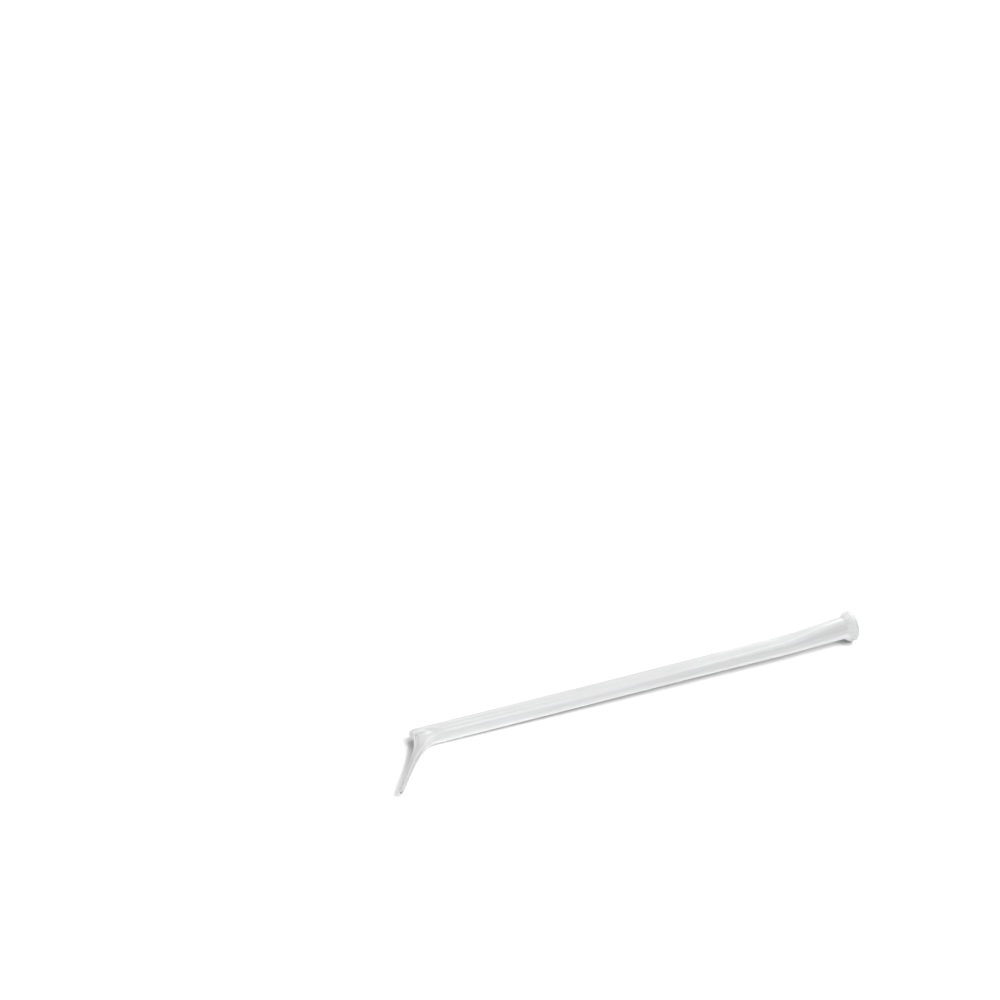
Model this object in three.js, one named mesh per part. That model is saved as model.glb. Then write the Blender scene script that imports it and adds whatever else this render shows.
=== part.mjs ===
// Single-use dropper pipette, one piece of polyethylene tube.
//
// A round tube is drawn out to a fine tip at one end, turned out into a thin flange at the
// other, pressed flat along its body and bent sideways just before the tip. It lies on its
// flat, on the flange's rim and on the heel of the bend.
//
// Millimetres, +Z up. The body runs along X, from the bend towards the mouth, and the tip
// turns towards -Y. The origin is on the floor, under the middle of the bounding box.

import * as THREE from 'three';
import { mergeVertices } from 'three/addons/utils/BufferGeometryUtils.js';

// ---- Driving dimensions ----

// Lengths, each from the corner where the body's axis meets the tip's axis.
const BODY_LENGTH = 122.3;
const TIP_LENGTH = 25.7;
const BEND_ANGLE = THREE.MathUtils.degToRad(55);

// The round tube, and its thickness where it is pressed flat: at both ends of the flat part,
// and half way along it, where it is pressed hardest.
const TUBE_DIAMETER = 5.2;
const PRESSED_THICKNESS = 3.3;
const WAIST_THICKNESS = 2.55;
const BODY_WALL = 0.45;

// The mouth: a gentle flare that ends in a flange, which a cone joins to the tube. The cone's
// slope is taken from the tube's axis.
const MOUTH_DIAMETER = 5.9;
const FLARE_LENGTH = 60;
const FLANGE_DIAMETER = 8.2;
const FLANGE_THICKNESS = 1.3;
const FLANGE_CORNER = 0.3;
const FLANGE_SLOPE = THREE.MathUtils.degToRad(34);
const MOUTH_LEAD_IN = 0.15;

// The tube is round for ROUND_LENGTH before its rear face, then goes flat over PRESS_RUN. The
// press stands on a table, so the flat part's middle is lower than the round mouth's axis.
const ROUND_LENGTH = 4;
const PRESS_RUN = 17;
const MOUTH_LIFT = 0.7;

// The bend: its heel on the body's axis, the knee on its outside and how far that turns, and
// how far the tip's shoulder reaches along the tip's axis.
const HEEL = 2.5;
const KNEE_REACH = 2.8;
const KNEE_RADIUS = 1.6;
const KNEE_TURN = THREE.MathUtils.degToRad(110);
const SHOULDER_LENGTH = 6.5;

// The drawn tip: widest at the shoulder, and thinning quickly towards its open end.
const ROOT_DIAMETER = 2.6;
const ROOT_FLATNESS = 0.13;
const ROOT_OFFSET = 0.3;
const END_DIAMETER = 1.1;
const DRAW_LENGTH = 6;
const TIP_WALL = 0.27;

// Facets.
const AROUND = 32;
const BODY_STATIONS = 8;
const PRESS_STATIONS = 12;
const BEND_STATIONS = 16;
const TIP_STATIONS = 12;
const CORNER_STATIONS = 3;

const PLASTIC = { color: 0xe4e6e6, roughness: 0.35, metalness: 0 };

// ---- Plan directions ----

const tipDirection = new THREE.Vector2(-Math.cos(BEND_ANGLE), -Math.sin(BEND_ANGLE));
const tipInwards = new THREE.Vector2(-tipDirection.y, tipDirection.x);

const { clamp, lerp, smoothstep } = THREE.MathUtils;

// Where the flat part ends and the run to the round mouth begins.
const PRESS_END = BODY_LENGTH - ROUND_LENGTH - PRESS_RUN;

// The flange's two corners are rounded about this radius, and the cone leaves the front one.
const CORNER_CENTRE = FLANGE_DIAMETER / 2 - FLANGE_CORNER;
const FRONT_CORNER = BODY_LENGTH - FLANGE_THICKNESS + FLANGE_CORNER;
const coneTop = new THREE.Vector2(
  FRONT_CORNER - FLANGE_CORNER * Math.sin(FLANGE_SLOPE),
  CORNER_CENTRE + FLANGE_CORNER * Math.cos(FLANGE_SLOPE),
);
const coneFoot = coneTop.x - (coneTop.y - MOUTH_DIAMETER / 2) / Math.tan(FLANGE_SLOPE);

// A point given by its distance along the tip's axis and its offset to the bend's inside.
function onTip(along, inwards) {
  return tipDirection.clone().multiplyScalar(along).addScaledVector(tipInwards, inwards);
}

// ---- Sections ----

// A section stands upright on the plan, between a point on the bend's outside and one on its
// inside. It is a round bar's section split along its middle, with a flat between the halves.
function section(outside, inside, thickness) {
  const width = outside.distanceTo(inside);
  return {
    centre: outside.clone().lerp(inside, 0.5),
    across: outside.clone().sub(inside).divideScalar(width),
    radius: thickness / 2,
    halfFlat: (width - thickness) / 2,
    lift: 0,
  };
}

// How far the pressing has faded out, from 0 on the flat part to 1 on the round mouth.
function unpressed(x) {
  return clamp((x - PRESS_END) / PRESS_RUN, 0, 1);
}

// Pressing a tube doesn't change its girth, so what it loses in height goes into its flats.
function bodySection(x, inset) {
  const flare = clamp((x - (BODY_LENGTH - FLARE_LENGTH)) / FLARE_LENGTH, 0, 1) ** 2;
  const tubeRadius = lerp(TUBE_DIAMETER, MOUTH_DIAMETER, flare) / 2;
  const share = clamp((x - HEEL) / (PRESS_END - HEEL), 0, 1);
  const thickness = lerp(WAIST_THICKNESS, PRESSED_THICKNESS, Math.abs(2 * share - 1));
  const radius = lerp(thickness / 2, tubeRadius, unpressed(x));
  const halfFlat = (Math.PI / 2) * (tubeRadius - radius);
  const halfWidth = radius + halfFlat - inset;
  const flattened = section(
    new THREE.Vector2(x, halfWidth),
    new THREE.Vector2(x, -halfWidth),
    2 * (radius - inset),
  );
  return { ...flattened, lift: MOUTH_LIFT * unpressed(x) };
}

function bodySections(inset) {
  const list = [];
  for (let i = 1; i <= BODY_STATIONS; i++) {
    list.push(bodySection(lerp(HEEL, PRESS_END, i / BODY_STATIONS), inset));
  }
  for (let i = 1; i <= PRESS_STATIONS; i++) {
    list.push(bodySection(lerp(PRESS_END, coneFoot, i / PRESS_STATIONS), inset));
  }
  return list;
}

// The drawn tip's section, at a share of the way from its shoulder to its open end.
function tipSection(share, inset) {
  const along = lerp(SHOULDER_LENGTH, TIP_LENGTH, share);
  const drawn = Math.exp(-(along - SHOULDER_LENGTH) / DRAW_LENGTH);
  const diameter = lerp(END_DIAMETER, ROOT_DIAMETER, drawn);
  const fade = (1 - share) ** 2;
  const middle = ROOT_OFFSET * fade;
  const halfWidth = diameter / 2 - inset;
  const thickness = diameter * (1 - ROOT_FLATNESS * fade) - 2 * inset;
  return section(
    onTip(along, middle - halfWidth),
    onTip(along, middle + halfWidth),
    thickness,
  );
}

// Where a line through a point, along a direction, crosses a line of the same kind.
function crossing(pointA, directionA, pointB, directionB) {
  const between = pointB.clone().sub(pointA);
  const reach = between.cross(directionB) / directionA.cross(directionB);
  return pointA.clone().addScaledVector(directionA, reach);
}

// A section's outermost point on one side: 1 is the bend's outside, and -1 its inside.
function edge({ centre, across, radius, halfFlat }, side) {
  return centre.clone().addScaledVector(across, side * (radius + halfFlat));
}

// The bend's two outlines in plan, each from the body's heel to the tip's shoulder. Outside
// is a knee and a hollow shoulder, and inside is one fillet. Both run smoothly into the tip.
function bendOutlines(inset) {
  const heel = bodySection(HEEL, inset);
  const shoulder = tipSection(0, inset);
  const beyond = tipSection(1 / TIP_STATIONS, inset);
  const halfWidth = heel.radius + heel.halfFlat;

  const kneeRadius = KNEE_RADIUS - inset;
  const kneeCentre = new THREE.Vector2(inset - KNEE_REACH + kneeRadius, halfWidth - kneeRadius);
  const endAngle = Math.PI / 2 + KNEE_TURN;
  const leaving = new THREE.Vector2(-Math.sin(endAngle), Math.cos(endAngle));
  const kneeEnd = new THREE.Vector2(leaving.y, -leaving.x)
    .multiplyScalar(kneeRadius)
    .add(kneeCentre);
  const outside = new THREE.Path();
  outside.moveTo(HEEL, halfWidth);
  outside.lineTo(kneeCentre.x, halfWidth);
  outside.absarc(kneeCentre.x, kneeCentre.y, kneeRadius, Math.PI / 2, endAngle, false);
  const outsideEnd = edge(shoulder, 1);
  const outsideRun = edge(beyond, 1).sub(outsideEnd);
  const hollow = crossing(kneeEnd, leaving, outsideEnd, outsideRun);
  outside.quadraticCurveTo(hollow.x, hollow.y, outsideEnd.x, outsideEnd.y);

  const inside = new THREE.Path();
  const insideStart = new THREE.Vector2(HEEL, -halfWidth);
  const insideEnd = edge(shoulder, -1);
  const insideRun = edge(beyond, -1).sub(insideEnd);
  const corner = crossing(insideStart, new THREE.Vector2(-1, 0), insideEnd, insideRun);
  inside.moveTo(insideStart.x, insideStart.y);
  inside.quadraticCurveTo(corner.x, corner.y, insideEnd.x, insideEnd.y);
  return { outside, inside };
}

function bendSections(inset) {
  const heel = bodySection(HEEL, inset);
  const shoulder = tipSection(0, inset);
  const { outside, inside } = bendOutlines(inset);
  const outsidePoints = outside.getSpacedPoints(BEND_STATIONS);
  const insidePoints = inside.getSpacedPoints(BEND_STATIONS);
  return outsidePoints.map((point, i) => {
    const radius = lerp(heel.radius, shoulder.radius, smoothstep(i / BEND_STATIONS, 0, 1));
    return section(point, insidePoints[i], 2 * radius);
  });
}

function tipSections(wall, endWall) {
  const list = [];
  for (let i = 1; i <= TIP_STATIONS; i++) {
    const share = i / TIP_STATIONS;
    list.push(tipSection(share, lerp(wall, endWall, share)));
  }
  return list;
}

// The tube's skin, from the tip's open end to the last station before the flange.
function skin(wall, endWall) {
  return [
    ...tipSections(wall, endWall).reverse(),
    ...bendSections(wall).reverse(),
    ...bodySections(wall),
  ];
}

// ---- Mouth and flange ----

// A round section on the mouth's axis.
function roundSection(x, radius) {
  const round = section(new THREE.Vector2(x, radius), new THREE.Vector2(x, -radius), 2 * radius);
  return { ...round, lift: MOUTH_LIFT };
}

// A corner of the flange, from one angle to another, measured up from the axis.
function cornerSections(x, from, to) {
  const list = [];
  for (let i = 0; i <= CORNER_STATIONS; i++) {
    const angle = lerp(from, to, i / CORNER_STATIONS);
    const radius = CORNER_CENTRE + FLANGE_CORNER * Math.sin(angle);
    list.push(roundSection(x + FLANGE_CORNER * Math.cos(angle), radius));
  }
  return list;
}

// From the bore's lip, over the rear face and the rim, to the top of the cone. Its foot is the
// skin's own last section.
function mouthSections() {
  const boreRadius = MOUTH_DIAMETER / 2 - BODY_WALL;
  const upright = Math.PI / 2;
  return [
    roundSection(BODY_LENGTH - MOUTH_LEAD_IN, boreRadius),
    roundSection(BODY_LENGTH, boreRadius + MOUTH_LEAD_IN),
    ...cornerSections(BODY_LENGTH - FLANGE_CORNER, 0, upright),
    ...cornerSections(FRONT_CORNER, upright, upright + FLANGE_SLOPE),
  ];
}

// ---- The tube ----

// One closed profile, up the bore and back down the skin, is turned like a lathe's work, and
// each of its rings is then laid on its own section. The facets start half a step round, so
// that no corner falls where a section's two halves part.
function makeTube() {
  const bore = skin(BODY_WALL, TIP_WALL);
  const outer = skin(0, 0);
  const rings = [...bore, ...mouthSections(), ...outer.reverse(), bore[0]];
  const profile = rings.map((ring, i) => new THREE.Vector2(ring.radius, i));
  const halfStep = Math.PI / AROUND;
  const geometry = new THREE.LatheGeometry(profile, AROUND, halfStep);
  const position = geometry.attributes.position;
  const point = new THREE.Vector3();
  for (let i = 0; i < position.count; i++) {
    const ring = rings[i % rings.length];
    point.fromBufferAttribute(position, i);
    const sideways = point.x + Math.sign(point.x) * ring.halfFlat;
    const plan = ring.centre.clone().addScaledVector(ring.across, sideways);
    position.setXYZ(i, plan.x, plan.y, point.z + ring.lift);
  }
  geometry.deleteAttribute('normal');
  geometry.deleteAttribute('uv');
  const closed = mergeVertices(geometry, 1e-5);
  closed.computeVertexNormals();
  return closed;
}

// ---- The object, lying as it comes to rest ----

const tube = new THREE.Mesh(makeTube(), new THREE.MeshStandardMaterial(PLASTIC));
tube.name = 'pipette_tube';

// The flange is wider than the pressed body, so the mouth end lies a little higher. It touches
// on the front edge of its rim.
const rise = (FLANGE_DIAMETER - PRESSED_THICKNESS) / 2 - MOUTH_LIFT;
tube.rotation.y = -Math.atan2(rise, FRONT_CORNER - HEEL);

const lying = new THREE.Group();
lying.add(tube);
lying.updateMatrixWorld(true);
const bounds = new THREE.Box3().setFromObject(lying, true);
const middle = bounds.getCenter(new THREE.Vector3());
lying.position.set(-middle.x, -middle.y, -bounds.min.z);

const pipette = new THREE.Group();
pipette.add(lying);

export default pipette;
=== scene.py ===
# %% [markdown]
# A dropper pipette from the biology lab: one length of soft, milky polyethylene tube. One end
# is turned out into a flange, the body is pressed flat, and the other end is bent to one side
# and drawn out to a fine tip. It is used once and thrown away, so nothing on it is
# fitted, printed or polished.
#
# The frame below is the engineering model of the same tube. It fixes where the pipette lies
# and how big it is, and the finer tube made here has to fill the same place.

# %% Load the frame
import math

import bpy
import numpy as np
from mathutils import Matrix, Vector


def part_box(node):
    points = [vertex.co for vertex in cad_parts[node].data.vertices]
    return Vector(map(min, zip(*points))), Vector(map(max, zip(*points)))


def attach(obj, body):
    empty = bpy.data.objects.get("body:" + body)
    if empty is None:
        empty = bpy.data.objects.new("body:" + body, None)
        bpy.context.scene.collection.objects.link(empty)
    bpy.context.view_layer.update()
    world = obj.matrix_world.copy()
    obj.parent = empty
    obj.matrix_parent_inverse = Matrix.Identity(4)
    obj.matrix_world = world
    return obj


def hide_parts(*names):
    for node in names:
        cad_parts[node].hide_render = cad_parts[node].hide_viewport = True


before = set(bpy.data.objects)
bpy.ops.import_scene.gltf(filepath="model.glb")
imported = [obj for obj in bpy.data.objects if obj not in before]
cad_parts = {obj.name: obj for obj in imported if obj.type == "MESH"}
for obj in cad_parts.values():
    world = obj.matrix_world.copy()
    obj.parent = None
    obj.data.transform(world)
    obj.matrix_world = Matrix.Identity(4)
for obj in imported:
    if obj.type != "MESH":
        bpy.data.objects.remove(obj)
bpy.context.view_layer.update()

cad_low, cad_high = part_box("pipette_tube")
MM = 0.001
print("frame box, mm:", [round(side / MM, 2) for side in cad_high - cad_low])

# %% [markdown]
# The camera stands back and looks down 25 degrees through a long lens, so the pipette is hardly
# foreshortened. The body runs away from it to the right by about 25 degrees. A camera that is
# turned and placed by plain numbers is easier to repeat than one that tracks a target.

# %% Camera
CAMERA_PLACE = Vector((-0.25927, -0.47576, 0.31051))
CAMERA_PITCH = math.radians(25.023)
CAMERA_ROLL = math.radians(0.241)
BODY_TURN = math.radians(25.199)

camera_data = bpy.data.cameras.new("camera")
camera_data.lens = 90
camera_data.sensor_width = 36
camera = bpy.data.objects.new("camera", camera_data)
camera.location = CAMERA_PLACE
camera.rotation_euler = (math.pi / 2 - CAMERA_PITCH, CAMERA_ROLL, -BODY_TURN)
bpy.context.scene.collection.objects.link(camera)
bpy.context.scene.camera = camera
print("camera", [round(place, 4) for place in camera.location])

# %% [markdown]
# ## The tube's main sizes
#
# Everything follows from a few sizes of the tube. Lengths along the body and along the tip are
# counted from the corner where their two axes meet. The body's axis is X, and the tip turns off
# it towards -Y. Sizes that only one step needs are given with that step.

# %% Main sizes
BODY_LENGTH = 122.3 * MM
TIP_LENGTH = 25.7 * MM
BEND_ANGLE = math.radians(55)
TUBE_DIAMETER = 5.2 * MM
MOUTH_DIAMETER = 5.9 * MM
MOUTH_LIFT = 0.7 * MM
BODY_WALL = 0.45 * MM
TIP_WALL = 0.27 * MM
print("body and tip, mm:", round(BODY_LENGTH / MM, 1), round(TIP_LENGTH / MM, 1))

# %% [markdown]
# ## Sections
#
# A pressed tube has a section like a running track: two half rounds with a flat between them.
# One description does for the whole pipette, because a track whose flat has no length is a
# plain circle. Each section stands upright between a point on the outside of the bend and one
# on the inside, so a list of sections can follow any bend without ever folding over itself.


# %% One section
def section(outside, inside, thickness):
    width = np.linalg.norm(outside - inside)
    return {
        "centre": (outside + inside) / 2,
        "across": (outside - inside) / width,
        "round_radius": thickness / 2,
        "half_flat": (width - thickness) / 2,
        "lift": 0.0,
        "groove": 0.0,
        "fold": 0.0,
    }


def blend(start, end, share):
    return start + (end - start) * share


def clamp(share):
    return min(max(share, 0), 1)


def ease(share):
    share = clamp(share)
    return share * share * (3 - 2 * share)


round_one = section(np.array([0, 1.0]), np.array([0, -1.0]), thickness=2.0)
print("a round section's flat:", round_one["half_flat"])

# %% [markdown]
# ## The mouth
#
# The mouth is turned out into a flange, as the end of a warm tube is when it is pushed against
# a plate. A profile could be spun round the mouth's axis, but it would then have to be joined
# to the flat tube. A list of sections needs no joint, and here they are all circles. They climb
# over the lip of the bore and the rear face, cross the rim between two rounded corners, and
# slide down a cone to the tube.
#
# The sizes come first. The cone meets the front corner where the corner is as steep as the cone.

# %% Flange sizes
FLANGE_DIAMETER = 8.2 * MM
FLANGE_THICKNESS = 1.3 * MM
FLANGE_CORNER = 0.3 * MM
FLANGE_SLOPE = math.radians(34)
MOUTH_LEAD_IN = 0.15 * MM

CORNER_CENTRE = FLANGE_DIAMETER / 2 - FLANGE_CORNER
REAR_CORNER = BODY_LENGTH - FLANGE_CORNER
FRONT_CORNER = BODY_LENGTH - FLANGE_THICKNESS + FLANGE_CORNER
CONE_TOP = FRONT_CORNER - FLANGE_CORNER * math.sin(FLANGE_SLOPE)
CONE_TOP_RADIUS = CORNER_CENTRE + FLANGE_CORNER * math.cos(FLANGE_SLOPE)
CONE_FOOT = CONE_TOP - (CONE_TOP_RADIUS - MOUTH_DIAMETER / 2) / math.tan(FLANGE_SLOPE)
print("the cone is", round((CONE_TOP - CONE_FOOT) / MM, 2), "mm long")

# %% [markdown]
# The plastic doesn't turn out evenly, so fine ripples run round the rim and fade out down the
# cone. Each ring only has to be a little smaller where a ripple dips.

# %% Mouth
RIPPLE_HEIGHT = 0.14 * MM
RIPPLE_PITCH = 0.7 * MM
RIPPLED_LENGTH = 2.6 * MM
CORNER_STEPS = 8
FACE_STEPS = 16
QUARTER_TURN = math.pi / 2


def ripple(x):
    from_rear = REAR_CORNER - x
    fade = 1 - ease(from_rear / RIPPLED_LENGTH)
    return RIPPLE_HEIGHT * fade * math.sin(math.pi * from_rear / RIPPLE_PITCH) ** 2


def round_section(x, radius):
    ring = section(np.array([x, radius]), np.array([x, -radius]), 2 * radius)
    ring["lift"] = MOUTH_LIFT
    return ring


def corner_sections(x, start, end):
    return [
        round_section(
            x + FLANGE_CORNER * math.cos(turn),
            CORNER_CENTRE + FLANGE_CORNER * math.sin(turn),
        )
        for turn in np.linspace(start, end, CORNER_STEPS + 1)
    ]


def mouth_sections():
    bore_radius = MOUTH_DIAMETER / 2 - BODY_WALL
    rim = np.linspace(REAR_CORNER, FRONT_CORNER, FACE_STEPS + 1)[1:-1]
    cone = np.linspace(CONE_TOP, CONE_FOOT, 2 * FACE_STEPS + 1)[1:-1]
    slope = math.tan(FLANGE_SLOPE)
    return [
        round_section(BODY_LENGTH - MOUTH_LEAD_IN, bore_radius),
        round_section(BODY_LENGTH, bore_radius + MOUTH_LEAD_IN),
        *corner_sections(REAR_CORNER, 0, QUARTER_TURN),
        *[round_section(x, FLANGE_DIAMETER / 2 - ripple(x)) for x in rim],
        *corner_sections(FRONT_CORNER, QUARTER_TURN, QUARTER_TURN + FLANGE_SLOPE),
        *[round_section(x, CONE_TOP_RADIUS - (CONE_TOP - x) * slope - ripple(x)) for x in cone],
    ]


print("mouth rings:", len(mouth_sections()))

# %% [markdown]
# ## The body
#
# The body is a round tube that was pressed between two flats. Pressing doesn't change the
# girth of a tube, so what it loses in height it gains in width, and the width needs no number
# of its own. Towards the mouth the pressing fades out and the tube is round again. A tube lies on
# its underside while it is pressed, so the flat part's middle drops below the round mouth's.
#
# The body starts at the heel of the bend and is thinnest half way along.

# %% Pressing
PRESSED_THICKNESS = 3.3 * MM
WAIST_THICKNESS = 2.55 * MM
FLARE_LENGTH = 60 * MM
ROUND_LENGTH = 4 * MM
PRESS_RUN = 17 * MM
PRESS_END = BODY_LENGTH - ROUND_LENGTH - PRESS_RUN
HEEL = 2.5 * MM


def unpressed(x):
    return clamp((x - PRESS_END) / PRESS_RUN)


print("pressed flat for", round((PRESS_END - HEEL) / MM, 1), "mm")

# %% [markdown]
# Pressing leaves marks where the flat meets the rounds. Near the bend a shallow groove runs
# beside the crease. Towards the mouth the crease itself stands up as a fine fold. Both could be
# cut afterwards, but they follow the tube, so each section just carries how much of the groove
# and how much of the fold it has, from none to all.

# %% Body
GROOVE_RISE = 8 * MM
GROOVE_FADE = 70 * MM
FOLD_START = 70 * MM
FOLD_RISE = 30 * MM
FOLD_NEEDS_FLAT = 1 * MM


def body_section(x, inset):
    flare = clamp((x - BODY_LENGTH + FLARE_LENGTH) / FLARE_LENGTH) ** 2
    tube_radius = blend(TUBE_DIAMETER, MOUTH_DIAMETER, flare) / 2
    share = clamp((x - HEEL) / (PRESS_END - HEEL))
    thickness = blend(WAIST_THICKNESS, PRESSED_THICKNESS, abs(2 * share - 1))
    radius = blend(thickness / 2, tube_radius, unpressed(x))
    half_flat = math.pi / 2 * (tube_radius - radius)
    half_width = radius + half_flat - inset
    ring = section(np.array([x, half_width]), np.array([x, -half_width]), 2 * (radius - inset))
    ring["lift"] = MOUTH_LIFT * unpressed(x)
    ring["groove"] = ease(x / GROOVE_RISE) - ease(x / GROOVE_FADE)
    ring["fold"] = ease((x - FOLD_START) / FOLD_RISE) * clamp(half_flat / FOLD_NEEDS_FLAT)
    return ring


def body_sections(inset, step):
    stops = np.linspace(HEEL, CONE_FOOT, round((CONE_FOOT - HEEL) / step))
    return [body_section(x, inset) for x in stops[1:]]


heel_section = body_section(HEEL, 0)
pressed_width = 2 * (heel_section["round_radius"] + heel_section["half_flat"])
print("pressed body", round(pressed_width / MM, 2), "mm wide")

# %% [markdown]
# ## The tip
#
# The tip was pulled out of the warm tube, so it thins quickly at first and then hardly at all.
# A cone would be simpler, but a pulled tube's thinning is the fall of an exponential. Close to
# the bend the tip is a little flat still, and it sits slightly towards the inside.

# %% Tip
SHOULDER_LENGTH = 6.5 * MM
ROOT_DIAMETER = 2.6 * MM
ROOT_FLATNESS = 0.13
ROOT_OFFSET = 0.3 * MM
END_DIAMETER = 1.1 * MM
DRAW_LENGTH = 6 * MM

tip_direction = np.array([-math.cos(BEND_ANGLE), -math.sin(BEND_ANGLE)])
tip_inwards = np.array([-tip_direction[1], tip_direction[0]])


def on_tip(along, inwards):
    return along * tip_direction + inwards * tip_inwards


def tip_section(share, inset):
    along = blend(SHOULDER_LENGTH, TIP_LENGTH, share)
    drawn = math.exp(-(along - SHOULDER_LENGTH) / DRAW_LENGTH)
    diameter = blend(END_DIAMETER, ROOT_DIAMETER, drawn)
    fade = (1 - share) ** 2
    middle = ROOT_OFFSET * fade
    half_width = diameter / 2 - inset
    thickness = diameter * (1 - ROOT_FLATNESS * fade) - 2 * inset
    outer_end = on_tip(along, middle - half_width)
    inner_end = on_tip(along, middle + half_width)
    return section(outer_end, inner_end, thickness)


def tip_sections(wall, end_wall, count):
    shares = np.linspace(0, 1, count + 1)[1:]
    return [tip_section(share, blend(wall, end_wall, share)) for share in shares]


print("tip bore at the end", round((END_DIAMETER - 2 * TIP_WALL) / MM, 2), "mm")

# %% [markdown]
# ## The bend
#
# The bend is the one place where the tube isn't swept along a line. On the outside it has a
# knee that stands proud, and then a hollow where the tip's shoulder begins. On the inside it is
# one fillet. So the bend is given as its two outlines, and the sections are strung between
# them, like the rungs of a ladder that turns a corner.


# %% Outline helpers
def edge(ring, side):
    reach = ring["round_radius"] + ring["half_flat"]
    return ring["centre"] + side * reach * ring["across"]


def crossing(point_a, direction_a, point_b, direction_b):
    sides = np.column_stack([direction_a, -direction_b])
    reach = np.linalg.solve(sides, point_b - point_a)
    return point_a + reach[0] * direction_a


def quadratic(start, handle, end, count=80):
    t = np.linspace(0, 1, count)[:, None]
    return (1 - t) ** 2 * start + 2 * t * (1 - t) * handle + t**2 * end


def evenly(points, count):
    walked = np.concatenate([[0], np.cumsum(np.linalg.norm(np.diff(points, axis=0), axis=1))])
    stops = np.linspace(0, walked[-1], count + 1)
    return np.column_stack([np.interp(stops, walked, points[:, axis]) for axis in range(2)])


print("heel's outer edge, mm:", np.round(edge(heel_section, 1) / MM, 2))

# %% [markdown]
# The outside goes round the knee and leaves it straight, to the point where it crosses the line
# that the tip's outside would follow. That crossing is the handle of a soft curve into the tip.

# %% Bend
KNEE_REACH = 2.8 * MM
KNEE_RADIUS = 1.6 * MM
KNEE_TURN = math.radians(110)
KNEE_POINTS = 60
JUST_BEYOND = 0.01


def outer_outline(half_width, inset, shoulder, beyond):
    radius = KNEE_RADIUS - inset
    turn = np.linspace(QUARTER_TURN, QUARTER_TURN + KNEE_TURN, KNEE_POINTS)[:, None]
    middle = np.array([inset - KNEE_REACH + radius, half_width - radius])
    knee = middle + radius * np.hstack([np.cos(turn), np.sin(turn)])
    run = edge(beyond, 1) - edge(shoulder, 1)
    leaving = np.array([-math.cos(KNEE_TURN), -math.sin(KNEE_TURN)])
    hollow = crossing(knee[-1], leaving, edge(shoulder, 1), run)
    into_tip = quadratic(knee[-1], hollow, edge(shoulder, 1))[1:]
    return np.vstack([[[HEEL, half_width]], knee, into_tip])


def inner_outline(half_width, shoulder, beyond):
    start = np.array([HEEL, -half_width])
    run = edge(beyond, -1) - edge(shoulder, -1)
    corner = crossing(start, np.array([-1, 0]), edge(shoulder, -1), run)
    return quadratic(start, corner, edge(shoulder, -1))


def bend_sections(inset, count):
    heel = body_section(HEEL, inset)
    shoulder = tip_section(0, inset)
    beyond = tip_section(JUST_BEYOND, inset)
    half_width = heel["round_radius"] + heel["half_flat"]
    outside = evenly(outer_outline(half_width, inset, shoulder, beyond), count)
    inside = evenly(inner_outline(half_width, shoulder, beyond), count)
    rungs = []
    for i, (outer_end, inner_end) in enumerate(zip(outside, inside)):
        radius = blend(heel["round_radius"], shoulder["round_radius"], ease(i / count))
        rungs.append(section(outer_end, inner_end, 2 * radius))
    return rungs


print("bend sections:", len(bend_sections(inset=0, count=72)))

# %% [markdown]
# ## The spine
#
# The sections go up the bore from the tip to the mouth, over the flange and back down the
# outside. The last one joins the first, so the tube's wall is one closed skin with a true bore,
# and light can go into it and come out again. They are stored as the points of a closed loop of
# edges, with each section's sizes as attributes on its point.


# %% Spine
def skin(wall, end_wall, body_step, bend_count, tip_count):
    return [
        *reversed(tip_sections(wall, end_wall, tip_count)),
        *reversed(bend_sections(wall, bend_count)),
        *body_sections(wall, body_step),
    ]


def flat(vectors):
    return np.array([(x, y, 0) for x, y in vectors], dtype=np.float32)


def add_attribute(mesh, name, kind, values):
    attribute = mesh.attributes.new(name, kind, "POINT")
    key = "vector" if kind == "FLOAT_VECTOR" else "value"
    attribute.data.foreach_set(key, np.asarray(values, dtype=np.float32).ravel())


bore = skin(BODY_WALL, TIP_WALL, body_step=1.5 * MM, bend_count=48, tip_count=32)
outer = skin(0, 0, body_step=0.5 * MM, bend_count=72, tip_count=64)
rings = [*bore, *mouth_sections(), *reversed(outer)]

centres = flat([ring["centre"] for ring in rings])
centres[:, 2] = [ring["lift"] for ring in rings]
spine_mesh = bpy.data.meshes.new("spine")
loop = [(i, (i + 1) % len(rings)) for i in range(len(rings))]
spine_mesh.from_pydata(centres.tolist(), loop, [])
add_attribute(spine_mesh, "centre", "FLOAT_VECTOR", centres)
add_attribute(spine_mesh, "across", "FLOAT_VECTOR", flat([ring["across"] for ring in rings]))
for name in ("half_flat", "round_radius", "groove", "fold"):
    add_attribute(spine_mesh, name, "FLOAT", [ring[name] for ring in rings])
print("sections:", len(rings), "of which bore", len(bore))

# %% [markdown]
# The plastic will need to know how far along the tube a point is. So each section also carries
# the way walked from the tip's end, on the inside as on the outside.

# %% Way along the tube
walked = np.concatenate([[0], np.cumsum(np.linalg.norm(np.diff(centres, axis=0), axis=1))])
from_tip = np.minimum(walked, walked[-1] - walked)
add_attribute(spine_mesh, "along", "FLOAT", from_tip)
print("from the tip's end to the mouth:", round(from_tip.max() / MM, 1), "mm")

# %% [markdown]
# ## The sweep
#
# Geometry Nodes turn the spine into the tube's wall. Curve to Mesh joins a ring of points at
# every section to the ring before it, and Set Position then lays each ring on its own section.
# A few helpers keep the trees short enough to read.


# %% Node helpers
def socket_in(tree, value, socket):
    if isinstance(value, bpy.types.NodeSocket):
        tree.links.new(value, socket)
    else:
        socket.default_value = value


def maths(tree, operation, *values):
    node = tree.nodes.new("ShaderNodeMath")
    node.operation = operation
    for value, socket in zip(values, node.inputs):
        socket_in(tree, value, socket)
    return node.outputs[0]


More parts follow.
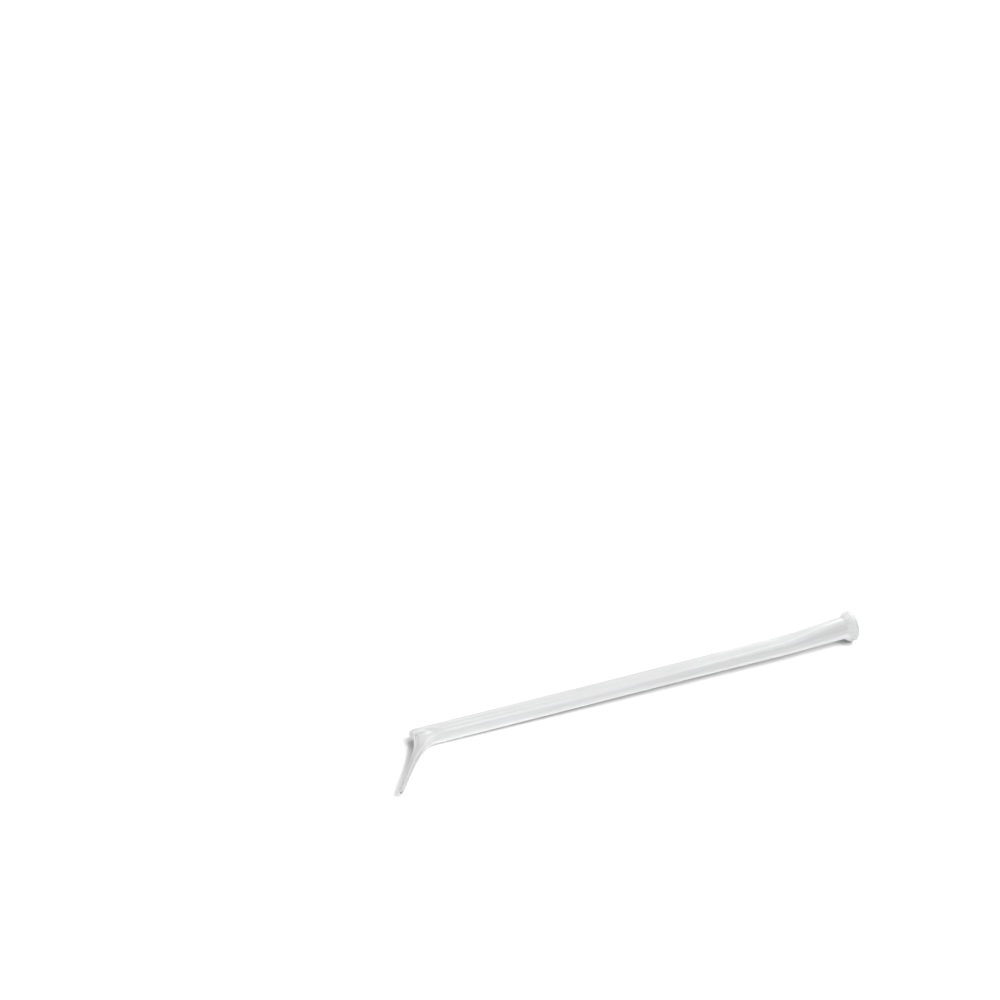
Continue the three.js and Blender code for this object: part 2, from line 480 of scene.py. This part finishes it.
def vector_maths(tree, operation, *values):
    node = tree.nodes.new("ShaderNodeVectorMath")
    node.operation = operation
    sockets = [node.inputs[0], node.inputs["Scale"]] if operation == "SCALE" else node.inputs
    for value, socket in zip(values, sockets):
        socket_in(tree, value, socket)
    return node.outputs[0]


def read_attribute(tree, name, kind):
    node = tree.nodes.new("GeometryNodeInputNamedAttribute")
    node.data_type = kind
    node.inputs["Name"].default_value = name
    return node.outputs["Attribute"]


def store_attribute(tree, geometry, name, kind, value):
    node = tree.nodes.new("GeometryNodeStoreNamedAttribute")
    node.data_type = kind
    node.domain = "POINT"
    node.inputs["Name"].default_value = name
    tree.links.new(geometry, node.inputs["Geometry"])
    tree.links.new(value, node.inputs["Value"])
    return node.outputs["Geometry"]


print("node helpers ready")

# %% [markdown]
# Two shapes of fall-off do for every mark. A smooth step goes from nothing to full between two
# places, and a bell stands at one place and fades to both sides.


# %% Fall-off helpers
def smooth_step(tree, value, start, end):
    node = tree.nodes.new("ShaderNodeMapRange")
    node.interpolation_type = "SMOOTHSTEP"
    socket_in(tree, value, node.inputs["Value"])
    node.inputs["From Min"].default_value = start
    node.inputs["From Max"].default_value = end
    return node.outputs["Result"]


def bell(tree, value, middle, width):
    away = maths(tree, "DIVIDE", maths(tree, "SUBTRACT", value, middle), width)
    squared = maths(tree, "MULTIPLY", away, away)
    return maths(tree, "EXPONENT", maths(tree, "MULTIPLY", squared, -1.0))


print("a bell one width off its middle:", round(math.exp(-1), 2))

# %% [markdown]
# A point's turn round the ring becomes a distance walked round the track: first round the end,
# then along the flat. The points are spaced evenly by that, so the flats have points too. One
# quarter of the track is worked out, and the signs of the ring's X and Y give the other three.


# %% Round a section
def round_a_section(tree):
    split = tree.nodes.new("ShaderNodeSeparateXYZ")
    tree.links.new(read_attribute(tree, "ring", "FLOAT_VECTOR"), split.inputs[0])
    ring_x, ring_y = split.outputs[0], split.outputs[1]
    half_flat = read_attribute(tree, "half_flat", "FLOAT")
    radius = read_attribute(tree, "round_radius", "FLOAT")

    turn = maths(tree, "ARCTAN2", maths(tree, "ABSOLUTE", ring_y), maths(tree, "ABSOLUTE", ring_x))
    quarter = maths(tree, "MULTIPLY", radius, QUARTER_TURN)
    share = maths(tree, "DIVIDE", turn, QUARTER_TURN)
    way = maths(tree, "MULTIPLY", share, maths(tree, "ADD", quarter, half_flat))
    angle = maths(tree, "DIVIDE", maths(tree, "MINIMUM", way, quarter), radius)
    past_crease = maths(tree, "SUBTRACT", way, quarter)

    reach = maths(tree, "MULTIPLY_ADD", maths(tree, "COSINE", angle), radius, half_flat)
    sideways = maths(tree, "SUBTRACT", reach, maths(tree, "MAXIMUM", past_crease, 0.0))
    sideways = maths(tree, "MULTIPLY", sideways, maths(tree, "SIGN", ring_x))
    sine = maths(tree, "SINE", angle)
    upwards = maths(tree, "MULTIPLY", sine, radius)
    side = maths(tree, "SIGN", ring_y)
    rise = maths(tree, "MULTIPLY", sine, side)
    return sideways, upwards, side, rise, past_crease


print("a quarter round the pressed end:", round(PRESSED_THICKNESS * math.pi / 4 / MM, 2), "mm")

# %% [markdown]
# A tube that is bent while it is flat can't keep its shape at the bend. The upper wall sinks in
# just behind the corner, a short pinch runs into the body, and the lower wall lifts off the
# table under the corner. A pale spot by the pinch is a painted highlight.
#
# Each of these depends only on where a point is in plan and on whether it is on the upper or
# the lower wall. So they are worked out for every point from its place, as a depth to push it
# in by. A sculpted mesh could do the same, but it would be lost when a size changes.
#
# Places are counted along the body, inwards of the bend, and beside a line through the corner
# that leans part of the way towards the tip. A pair is where a dent starts and where it is full,
# or a spot's place and its size along the body and inwards.

# %% Places of the dents
BESIDE_LEAN = 0.434
TROUGH_PLACE = -1.7 * MM
TROUGH_WIDTH = 0.45 * MM
TROUGH_DEPTH = 0.3 * MM
SUNK_BESIDE = (-2.4 * MM, -1.7 * MM)
SUNK_FROM_OUTSIDE = (-0.5 * MM, 0.0)
SUNK_ALONG = (6 * MM, 1.5 * MM)
SUNK_FROM_INSIDE = (8 * MM, 4 * MM)
PINCH_PLACE = (1.6 * MM, -0.6 * MM)
PINCH_SIZE = (1.3 * MM, 0.4 * MM)
PINCH_HIGHLIGHT_PLACE = (1.4 * MM, 0.45 * MM)
PINCH_HIGHLIGHT_SIZE = (0.8 * MM, 0.55 * MM)
LIFTED_BESIDE = (-0.6 * MM, -2.8 * MM)
LIFTED_INWARDS = (3 * MM, 0.5 * MM)
print("the trough is", round(2 * TROUGH_WIDTH / MM, 2), "mm wide")

# %% [markdown]
# A spot is a bell along the body times a bell inwards, on the upper wall alone. The depth is
# built up in the order of the sizes above, and a painted highlight spot is handed on as a mark.


# %% Dents at the bend
def spot(tree, along, inwards, above, place, size):
    lengthwise = bell(tree, along, place[0], size[0])
    crosswise = bell(tree, inwards, place[1], size[1])
    return maths(tree, "MULTIPLY", maths(tree, "MULTIPLY", lengthwise, crosswise), above)


def bend_dents(tree, sizes, place, rise):
    plan = tree.nodes.new("ShaderNodeSeparateXYZ")
    tree.links.new(place, plan.inputs[0])
    along = plan.outputs[0]
    inwards = maths(tree, "MULTIPLY", plan.outputs[1], -1.0)
    beside = maths(tree, "MULTIPLY_ADD", inwards, BESIDE_LEAN, along)
    above = maths(tree, "MAXIMUM", rise, 0.0)
    below = maths(tree, "MULTIPLY_ADD", rise, -0.5, 0.5)

    trough = bell(tree, beside, TROUGH_PLACE, TROUGH_WIDTH)
    depth = maths(tree, "MULTIPLY_ADD", trough, TROUGH_DEPTH, sizes["Sunk depth"])
    depth = maths(tree, "MULTIPLY", maths(tree, "MULTIPLY", above, above), depth)
    for value, span in (
        (beside, SUNK_BESIDE),
        (inwards, SUNK_FROM_OUTSIDE),
        (along, SUNK_ALONG),
        (inwards, SUNK_FROM_INSIDE),
    ):
        depth = maths(tree, "MULTIPLY", depth, smooth_step(tree, value, *span))

    pinch = spot(tree, along, inwards, above, PINCH_PLACE, PINCH_SIZE)
    depth = maths(tree, "MULTIPLY_ADD", pinch, sizes["Pinch depth"], depth)
    # The pale spot by the pinch is a painted highlight.
    white = spot(tree, along, inwards, above, PINCH_HIGHLIGHT_PLACE, PINCH_HIGHLIGHT_SIZE)

    lifted = maths(tree, "MULTIPLY", smooth_step(tree, beside, *LIFTED_BESIDE), sizes["Lift"])
    lifted = maths(tree, "MULTIPLY", lifted, smooth_step(tree, inwards, *LIFTED_INWARDS))
    return maths(tree, "SUBTRACT", depth, maths(tree, "MULTIPLY", lifted, below)), white


print("dent helpers ready")

# %% [markdown]
# Now a point's height can be put together. The fold is added to it, and the groove and the
# dents are taken away. Two marks are handed on for the plastic to read: the painted highlight
# by the pinch, and the fold, which is glossier and carries a painted highlight.


# %% Lay the points
def creased(tree, sizes, upwards, past_crease):
    folded = bell(tree, past_crease, 0.0, sizes["Fold width"])
    folded = maths(tree, "MULTIPLY", folded, read_attribute(tree, "fold", "FLOAT"))
    sunk = bell(tree, past_crease, sizes["Groove place"], sizes["Groove width"])
    sunk = maths(tree, "MULTIPLY", sunk, read_attribute(tree, "groove", "FLOAT"))
    raised = maths(tree, "MULTIPLY", folded, sizes["Fold height"])
    lowered = maths(tree, "MULTIPLY", sunk, sizes["Groove depth"])
    return maths(tree, "ADD", upwards, maths(tree, "SUBTRACT", raised, lowered)), folded


def points_of_the_wall(tree, sizes):
    sideways, upwards, side, rise, past_crease = round_a_section(tree)
    upwards, fold_gloss_and_highlight = creased(tree, sizes, upwards, past_crease)
    upwards = maths(tree, "MULTIPLY", upwards, side)

    across = read_attribute(tree, "across", "FLOAT_VECTOR")
    centre = read_attribute(tree, "centre", "FLOAT_VECTOR")
    level = vector_maths(tree, "ADD", centre, vector_maths(tree, "SCALE", across, sideways))
    depth, pinch_highlight = bend_dents(tree, sizes, level, rise)
    height = tree.nodes.new("ShaderNodeCombineXYZ")
    tree.links.new(maths(tree, "SUBTRACT", upwards, depth), height.inputs["Z"])
    point = vector_maths(tree, "ADD", level, height.outputs[0])
    return point, pinch_highlight, fold_gloss_and_highlight


print("wall helpers ready")

# %% [markdown]
# The tree itself comes next. It sweeps the rings, lays their points, and flips the faces so
# that they look out of the plastic. The sizes of the fold, the groove and the dents are inputs
# with names, so they can be tried out in the modifier without touching a node.

# %% The sweep's node tree
SIZE_INPUTS = (
    "Fold width",
    "Fold height",
    "Groove place",
    "Groove width",
    "Groove depth",
    "Sunk depth",
    "Pinch depth",
    "Lift",
)


def name_the_inputs(tree):
    face = tree.interface
    face.new_socket("Spine", in_out="INPUT", socket_type="NodeSocketGeometry")
    face.new_socket("Facets around", in_out="INPUT", socket_type="NodeSocketInt")
    for name in SIZE_INPUTS:
        face.new_socket(name, in_out="INPUT", socket_type="NodeSocketFloat")
    face.new_socket("Plastic", in_out="INPUT", socket_type="NodeSocketMaterial")
    face.new_socket("Tube", in_out="OUTPUT", socket_type="NodeSocketGeometry")
    return tree.nodes.new("NodeGroupInput").outputs


def swept_rings(tree, given):
    circle = tree.nodes.new("GeometryNodeCurvePrimitiveCircle")
    circle.inputs["Radius"].default_value = 1
    tree.links.new(given["Facets around"], circle.inputs["Resolution"])
    place = tree.nodes.new("GeometryNodeInputPosition").outputs[0]
    profile = store_attribute(tree, circle.outputs["Curve"], "ring", "FLOAT_VECTOR", place)
    spine = tree.nodes.new("GeometryNodeMeshToCurve")
    tree.links.new(given["Spine"], spine.inputs["Mesh"])
    sweep = tree.nodes.new("GeometryNodeCurveToMesh")
    tree.links.new(spine.outputs["Curve"], sweep.inputs["Curve"])
    tree.links.new(profile, sweep.inputs["Profile Curve"])
    return sweep.outputs["Mesh"]


def track_tree():
    tree = bpy.data.node_groups.new("tube_on_sections", "GeometryNodeTree")
    given = name_the_inputs(tree)
    result = tree.nodes.new("NodeGroupOutput")
    wall = swept_rings(tree, given)
    point, pinch_highlight, fold_gloss_and_highlight = points_of_the_wall(tree, given)
    # Marks for the plastic: the painted highlight by the pinch, and the fold with its painted
    # highlight.
    wall = store_attribute(tree, wall, "pinch_highlight", "FLOAT", pinch_highlight)
    wall = store_attribute(tree, wall, "fold_gloss_and_highlight", "FLOAT", fold_gloss_and_highlight)
    lay = tree.nodes.new("GeometryNodeSetPosition")
    tree.links.new(wall, lay.inputs["Geometry"])
    tree.links.new(point, lay.inputs["Position"])
    outwards = tree.nodes.new("GeometryNodeFlipFaces")
    tree.links.new(lay.outputs["Geometry"], outwards.inputs["Mesh"])
    realize = tree.nodes.new("GeometryNodeRealizeInstances")
    tree.links.new(outwards.outputs["Mesh"], realize.inputs["Geometry"])
    paint = tree.nodes.new("GeometryNodeSetMaterial")
    tree.links.new(realize.outputs["Geometry"], paint.inputs["Geometry"])
    tree.links.new(given["Plastic"], paint.inputs["Material"])
    tree.links.new(paint.outputs["Geometry"], result.inputs["Tube"])
    return tree


track = track_tree()
print("sweep tree:", len(track.nodes), "nodes")

# %% [markdown]
# ## Milky polyethylene
#
# Low-density polyethylene is a waxy, milky plastic. Light goes into it, is scattered, and comes
# out softer, so most of its look is light from just under the skin. It could be done with glass
# and fog, but scattering under the skin gives the same milkiness with far less noise.
#
# Its colour isn't even. Fine lines run along the tube, left by the die it was drawn through,
# and faint clouds by the way it cooled. Both are one noise, stretched along the tube by reading
# the way along it and the turn round it in place of a point's coordinates.


# %% Noise along the tube
def read_mark(tree, name):
    node = tree.nodes.new("ShaderNodeAttribute")
    node.attribute_name = name
    return node


def stretched_noise(tree, ring, along, around, per_metre, detail):
    wide = vector_maths(tree, "SCALE", ring, around)
    long = tree.nodes.new("ShaderNodeCombineXYZ")
    tree.links.new(maths(tree, "MULTIPLY", along, per_metre), long.inputs["Z"])
    noise = tree.nodes.new("ShaderNodeTexNoise")
    noise.inputs["Scale"].default_value = 1.0
    noise.inputs["Detail"].default_value = detail
    tree.links.new(vector_maths(tree, "ADD", wide, long.outputs[0]), noise.inputs["Vector"])
    return noise.outputs[0]


print("noise helpers ready")

# %% [markdown]
# The plastic is painted greyer where the tip was drawn thin: painted shade for the darker
# table and bore seen through the thinner plastic. Light is painted in as paleness on the
# underside, where the white table throws light back up, as a highlight spot by the pinch of
# the bend, as a highlight along the fold, and as light on top of the turned-out mouth with
# shade below it. Each of these is a mark with its own share in the shade. A pair is again
# where a mark starts and where it is full, along the tube or as a turn round it.

# %% Shade
EVEN_SHADE = 0.75
LINES_SHARE = 0.20
CLOUDS_SHARE = 0.08
TABLE_LIGHT_SHARE = 0.19
DRAWN_PAINTED_SHADE_SHARE = -0.20
PINCH_HIGHLIGHT_SHARE = 0.3
FOLD_HIGHLIGHT_SHARE = 0.12
MOUTH_PAINTED_LIGHT_SHARE = 0.12
PALEST = 0.98
DRAWN_SPAN = (28 * MM, 12 * MM)
UNDERSIDE_SPAN = (0.05, -0.35)
TABLE_LIGHT_BEFORE_MOUTH = (1 * MM, 4 * MM)
MOUTH_SPAN = (3 * MM, 1 * MM)


def shade_of_plastic(tree, ring, along, lines, clouds, fold_gloss_and_highlight, mouth):
    split = tree.nodes.new("ShaderNodeSeparateXYZ")
    tree.links.new(ring, split.inputs[0])
    across, upwards = split.outputs[0], split.outputs[1]
    turn = maths(tree, "ARCTAN2", upwards, maths(tree, "ABSOLUTE", across))
    before_mouth = smooth_step(tree, along, *[mouth - way for way in TABLE_LIGHT_BEFORE_MOUTH])
    # Paler underside: painted light, as the white table throws light back up.
    painted_table_light = maths(tree, "MULTIPLY", smooth_step(tree, turn, *UNDERSIDE_SPAN), before_mouth)
    at_mouth = smooth_step(tree, along, *[mouth - way for way in MOUTH_SPAN])

    shade = EVEN_SHADE
    for mark, share in (
        (maths(tree, "SUBTRACT", lines, 0.5), LINES_SHARE),
        (maths(tree, "SUBTRACT", clouds, 0.5), CLOUDS_SHARE),
        (painted_table_light, TABLE_LIGHT_SHARE),
        # Greyer drawn tip: painted shade for the table and bore seen through the thin plastic.
        (smooth_step(tree, along, *DRAWN_SPAN), DRAWN_PAINTED_SHADE_SHARE),
        # Painted highlight by the pinch of the bend.
        (read_mark(tree, "pinch_highlight").outputs["Fac"], PINCH_HIGHLIGHT_SHARE),
        # Paler fold: painted highlight along the fold near the mouth.
        (fold_gloss_and_highlight, FOLD_HIGHLIGHT_SHARE),
        # Lighter on top of the mouth and darker below: painted light and shade.
        (maths(tree, "MULTIPLY", at_mouth, upwards), MOUTH_PAINTED_LIGHT_SHARE),
    ):
        shade = maths(tree, "MULTIPLY_ADD", mark, share, shade)
    return maths(tree, "MINIMUM", shade, PALEST)


print("the plastic's even shade:", EVEN_SHADE)

# %% [markdown]
# The colour is that shade with a touch of blue. The clouds also make the gloss uneven, and the
# fold is glossier because it was rubbed. The lines give the skin its fine relief: as geometry
# they would need far more facets round the tube, so here a bump is enough.

# %% Plastic
BLUISH = (1.0, 1.005, 1.01)
EVEN_ROUGHNESS = 0.25
CLOUDS_ROUGHNESS = 0.16
RUBBED_ROUGHNESS = -0.22
LINE_DEPTH = 0.03 * MM
SCATTER_DEPTH = 0.4 * MM


def milky_plastic(mouth):
    material = bpy.data.materials.new("milky_polyethylene")
    material.use_nodes = True
    tree = material.node_tree
    shader = tree.nodes["Principled BSDF"]
    ring = read_mark(tree, "ring").outputs["Vector"]
    along = read_mark(tree, "along").outputs["Fac"]
    fold_gloss_and_highlight = read_mark(tree, "fold_gloss_and_highlight").outputs["Fac"]
    lines = stretched_noise(tree, ring, along, around=7.0, per_metre=30.0, detail=2.0)
    clouds = stretched_noise(tree, ring, along, around=1.2, per_metre=90.0, detail=3.0)

    shade = shade_of_plastic(tree, ring, along, lines, clouds, fold_gloss_and_highlight, mouth)
    colour = tree.nodes.new("ShaderNodeCombineColor")
    for channel, tint in zip(colour.inputs, BLUISH):
        tree.links.new(maths(tree, "MULTIPLY", shade, tint), channel)
    tree.links.new(colour.outputs[0], shader.inputs["Base Color"])
    rough = maths(tree, "MULTIPLY_ADD", clouds, CLOUDS_ROUGHNESS, EVEN_ROUGHNESS)
    rough = maths(tree, "MULTIPLY_ADD", fold_gloss_and_highlight, RUBBED_ROUGHNESS, rough)
    tree.links.new(rough, shader.inputs["Roughness"])
    bump = tree.nodes.new("ShaderNodeBump")
    bump.inputs["Strength"].default_value = 0.5
    bump.inputs["Distance"].default_value = LINE_DEPTH
    tree.links.new(lines, bump.inputs["Height"])
    tree.links.new(bump.outputs[0], shader.inputs["Normal"])

    shader.inputs["IOR"].default_value = 1.51
    shader.inputs["Subsurface Weight"].default_value = 1.0
    shader.inputs["Subsurface Radius"].default_value = (1.0, 1.0, 1.0)
    shader.inputs["Subsurface Scale"].default_value = SCATTER_DEPTH
    shader.inputs["Sheen Weight"].default_value = 0.5
    shader.inputs["Sheen Roughness"].default_value = 0.4
    return material


plastic = milky_plastic(from_tip.max())
print("material", plastic.name, len(plastic.node_tree.nodes), "nodes")

# %% [markdown]
# ## The finished tube
#
# The modifier's inputs are set by each socket's identifier before anything is evaluated. The
# result is then turned into a plain mesh, and the modifier goes.

# %% Sweep the tube
TRACK_INPUTS = {
    "Facets around": 120,
    "Fold width": 0.4 * MM,
    "Fold height": 0.2 * MM,
    "Groove place": 0.75 * MM,
    "Groove width": 0.6 * MM,
    "Groove depth": 0.13 * MM,
    "Sunk depth": 0.5 * MM,
    "Pinch depth": 0.4 * MM,
    "Lift": 1.2 * MM,
    "Plastic": plastic,
}


def set_input(modifier, name, value):
    for item in modifier.node_group.interface.items_tree:
        if item.item_type == "SOCKET" and item.in_out == "INPUT" and item.name == name:
            modifier[item.identifier] = value


spine_object = bpy.data.objects.new("spine", spine_mesh)
bpy.context.scene.collection.objects.link(spine_object)
modifier = spine_object.modifiers.new("tube", "NODES")
modifier.node_group = track
for name, value in TRACK_INPUTS.items():
    set_input(modifier, name, value)
evaluated = spine_object.evaluated_get(bpy.context.evaluated_depsgraph_get())
tube_mesh = bpy.data.meshes.new_from_object(evaluated)
tube_mesh.name = "pipette"
bpy.data.objects.remove(spine_object)
print("tube mesh:", len(tube_mesh.vertices), "points,", len(tube_mesh.polygons), "faces")

# %% [markdown]
# ## How it lies
#
# The pipette lies on the heel of its bend and on the flange's rim. The flange is wider than the
# pressed body is thick, so the mouth end is tilted up by a little less than a degree. It is
# then set down in the middle of the frame's box. The fold and the rounder facets make it a few
# hundredths of a millimetre bigger than the frame's tube, so it is trimmed to fit inside.

# %% Lay it down
A_HAIR_INSIDE = 0.9999

rise = (FLANGE_DIAMETER - PRESSED_THICKNESS) / 2 - MOUTH_LIFT
tilt = math.atan2(rise, FRONT_CORNER - HEEL)
tube_mesh.transform(Matrix.Rotation(-tilt, 4, "Y"))
points = np.empty(len(tube_mesh.vertices) * 3, dtype=np.float32)
tube_mesh.vertices.foreach_get("co", points)
points = points.reshape(-1, 3)
low, high = points.min(axis=0), points.max(axis=0)
spans = zip(cad_high - cad_low, high - low)
room = [min(1.0, A_HAIR_INSIDE * side / span) for side, span in spans]
foot = Vector(((low[0] + high[0]) / 2, (low[1] + high[1]) / 2, low[2]))
stand = Vector(((cad_low.x + cad_high.x) / 2, (cad_low.y + cad_high.y) / 2, cad_low.z))
trim = Matrix.Diagonal((*room, 1))
tube_mesh.transform(Matrix.Translation(stand) @ trim @ Matrix.Translation(-foot))
for polygon in tube_mesh.polygons:
    polygon.use_smooth = True

pipette = bpy.data.objects.new("pipette", tube_mesh)
bpy.context.scene.collection.objects.link(pipette)
print("tilt", round(math.degrees(tilt), 3), "degrees; box, mm:", np.round((high - low) / MM, 2))

# %% [markdown]
# ## Table and light
#
# The pipette lies on a white table. A white table throws a lot of light back up at a small
# thing on it, more than is wanted here, so the table is white to the eye and a light grey to
# the light that bounces off it. The light path tells the two apart.
#
# What makes the pipette lie on the table is the thin dark line where the two meet, on the
# tube's left and front, away from the softbox. A lamp that lights nothing but the table washes
# it white close up to the tube, so that only the line is left. And a shadow is painted into the
# table's colour: from each point of the table there is a look round, aimed low towards that
# lamp, that makes the point darker when the tube is close by.


# %% Table helpers
def seen_directly(tree):
    rays = tree.nodes.new("ShaderNodeLightPath")
    seen = maths(tree, "MAXIMUM", rays.outputs["Is Camera Ray"], rays.outputs["Is Glossy Ray"])
    return maths(tree, "MAXIMUM", seen, rays.outputs["Is Transmission Ray"])


def openness(tree, towards, distance):
    node = tree.nodes.new("ShaderNodeAmbientOcclusion")
    node.samples = 6
    node.inputs["Distance"].default_value = distance
    aim = tree.nodes.new("ShaderNodeCombineXYZ")
    for axis in range(3):
        aim.inputs[axis].default_value = towards[axis]
    tree.links.new(aim.outputs[0], node.inputs["Normal"])
    return node.outputs["AO"]


print("table helpers ready")

# %% [markdown]
# The table's painted shadow is its white times the openness, which is never let below a set
# share, so that the line stays grey. It is dull, because a sheen would mirror the pipette.

# %% Table paint
FLOOR_WHITE = 0.94
FLOOR_BOUNCE = 0.6
LOOK_TOWARDS = (0.76, -0.63, 0.16)
LOOK_DISTANCE = 2.3 * MM
LOOK_CONTRAST = 1.35
DARKEST_PAINTED_SHADOW = 0.66

floor_paint = bpy.data.materials.new("white_table")
floor_paint.use_nodes = True
floor_tree = floor_paint.node_tree
floor_tree.nodes.clear()
dull = floor_tree.nodes.new("ShaderNodeBsdfDiffuse")
# Painted contact shadow: the table's colour is darkened where the tube is close by.
looked_round = openness(floor_tree, LOOK_TOWARDS, LOOK_DISTANCE)
open_share = maths(floor_tree, "POWER", looked_round, LOOK_CONTRAST)
open_share = maths(floor_tree, "MAXIMUM", open_share, DARKEST_PAINTED_SHADOW)
over_bounce = maths(floor_tree, "MULTIPLY_ADD", open_share, FLOOR_WHITE, -FLOOR_BOUNCE)
shade = maths(floor_tree, "MULTIPLY_ADD", seen_directly(floor_tree), over_bounce, FLOOR_BOUNCE)
tint = floor_tree.nodes.new("ShaderNodeCombineColor")
for channel in tint.inputs:
    floor_tree.links.new(shade, channel)
floor_tree.links.new(tint.outputs[0], dull.inputs["Color"])
surface = floor_tree.nodes.new("ShaderNodeOutputMaterial")
floor_tree.links.new(dull.outputs[0], surface.inputs["Surface"])
print("table from", round(FLOOR_WHITE * DARKEST_PAINTED_SHADOW, 2), "to", FLOOR_WHITE)

# %% [markdown]
# The table itself is one wide square, so that its edge is never seen.

# %% Table top
FLOOR_SIZE = 8.0

half = FLOOR_SIZE / 2
corners = [(-half, -half, 0), (half, -half, 0), (half, half, 0), (-half, half, 0)]
floor_mesh = bpy.data.meshes.new("floor")
floor_mesh.from_pydata(corners, [], [(0, 1, 2, 3)])
floor_mesh.materials.append(floor_paint)
floor = bpy.data.objects.new("floor", floor_mesh)
bpy.context.scene.collection.objects.link(floor)
print("floor", FLOOR_SIZE, "m square")

# %% [markdown]
# An even white surround does most of the lighting, as a tent of white paper does. It is white to
# the eye, and its light on things is turned down so that the plastic keeps its own shade.

# %% Surround
SURROUND_LIGHT = 0.55

world = bpy.data.worlds.new("studio")
world.use_nodes = True
bpy.context.scene.world = world
world_tree = world.node_tree
background = world_tree.nodes["Background"]
background.inputs["Color"].default_value = (1, 1, 1, 1)
seen = seen_directly(world_tree)
strength = maths(world_tree, "MULTIPLY_ADD", seen, 1 - SURROUND_LIGHT, SURROUND_LIGHT)
world_tree.links.new(strength, background.inputs["Strength"])
bpy.context.scene.view_settings.view_transform = "Standard"
print("surround's light", SURROUND_LIGHT)

# %% [markdown]
# There are two kinds of lamp. A sun only has a direction, and how wide it is decides how soft
# its shadows are. A panel hangs at a distance from what it is aimed at, and is kept out of view.
# Both are told which way the lamp lies, and their Z axis is turned that way.


# %% Lamp helpers
def hang_lamp(name, kind, towards, energy):
    lamp_data = bpy.data.lights.new(name, kind)
    lamp_data.energy = energy
    lamp = bpy.data.objects.new(name, lamp_data)
    lamp.rotation_euler = towards.to_track_quat("Z", "Y").to_euler()
    bpy.context.scene.collection.objects.link(lamp)
    return lamp


def hang_sun(name, towards, energy, spread):
    lamp = hang_lamp(name, "SUN", towards, energy)
    lamp.data.angle = math.radians(spread)
    return lamp


def hang_panel(name, aim, towards, distance, energy, size):
    lamp = hang_lamp(name, "AREA", towards, energy)
    lamp.data.size = size
    lamp.location = aim + distance * towards
    lamp.visible_camera = False
    return lamp


print("lamp helpers ready")

# %% [markdown]
# The softbox high on the right is wide, so it gives the tube a lighter and a darker side and no
# hard edge. The table lamp is linked to the floor alone: it washes the table white and leaves
# the plastic as it is. A low fill at the front lights the tube's near edge, the way the bright
# table would.

# %% Lamps
SOFTBOX_TOWARDS = Vector((0.55, 0.35, 0.76)).normalized()
TABLE_LAMP_TOWARDS = Vector((0.62, -0.57, 0.54)).normalized()
FILL_AIM = Vector((-0.04, 0.008, 0.002))
FILL_TOWARDS = Vector((-0.45, -0.87, 0.08)).normalized()

hang_sun("softbox", SOFTBOX_TOWARDS, energy=0.85, spread=60)
table_lamp = hang_sun("table lamp", TABLE_LAMP_TOWARDS, energy=3.2, spread=50)
lit_by_it = bpy.data.collections.new("lit by the table lamp")
lit_by_it.objects.link(floor)
table_lamp.light_linking.receiver_collection = lit_by_it
hang_panel("fill", FILL_AIM, FILL_TOWARDS, distance=0.25, energy=0.36, size=0.12)
print("lamps:", [light.name for light in bpy.data.lights])

# %% [markdown]
# The last two lamps are small. One gives the wet-looking spot at the pinch of the bend, and the
# other runs a highlight along the fold near the mouth.

# %% Glints
PINCH_AIM = Vector((-0.052, 0.008, 0.002))
PINCH_TOWARDS = Vector((0.34, 0.44, 0.83))
FOLD_AIM = Vector((0.048, 0.008, 0.006))
FOLD_TOWARDS = Vector((0.49, 0.53, 0.69))

hang_panel("glint", PINCH_AIM, PINCH_TOWARDS, distance=0.22, energy=0.05, size=0.015)
hang_panel("glint", FOLD_AIM, FOLD_TOWARDS, distance=0.22, energy=0.07, size=0.015)
print("lamps:", len(bpy.data.lights))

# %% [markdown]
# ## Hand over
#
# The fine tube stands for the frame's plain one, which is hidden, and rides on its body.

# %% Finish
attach(pipette, "root")
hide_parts("pipette_tube")
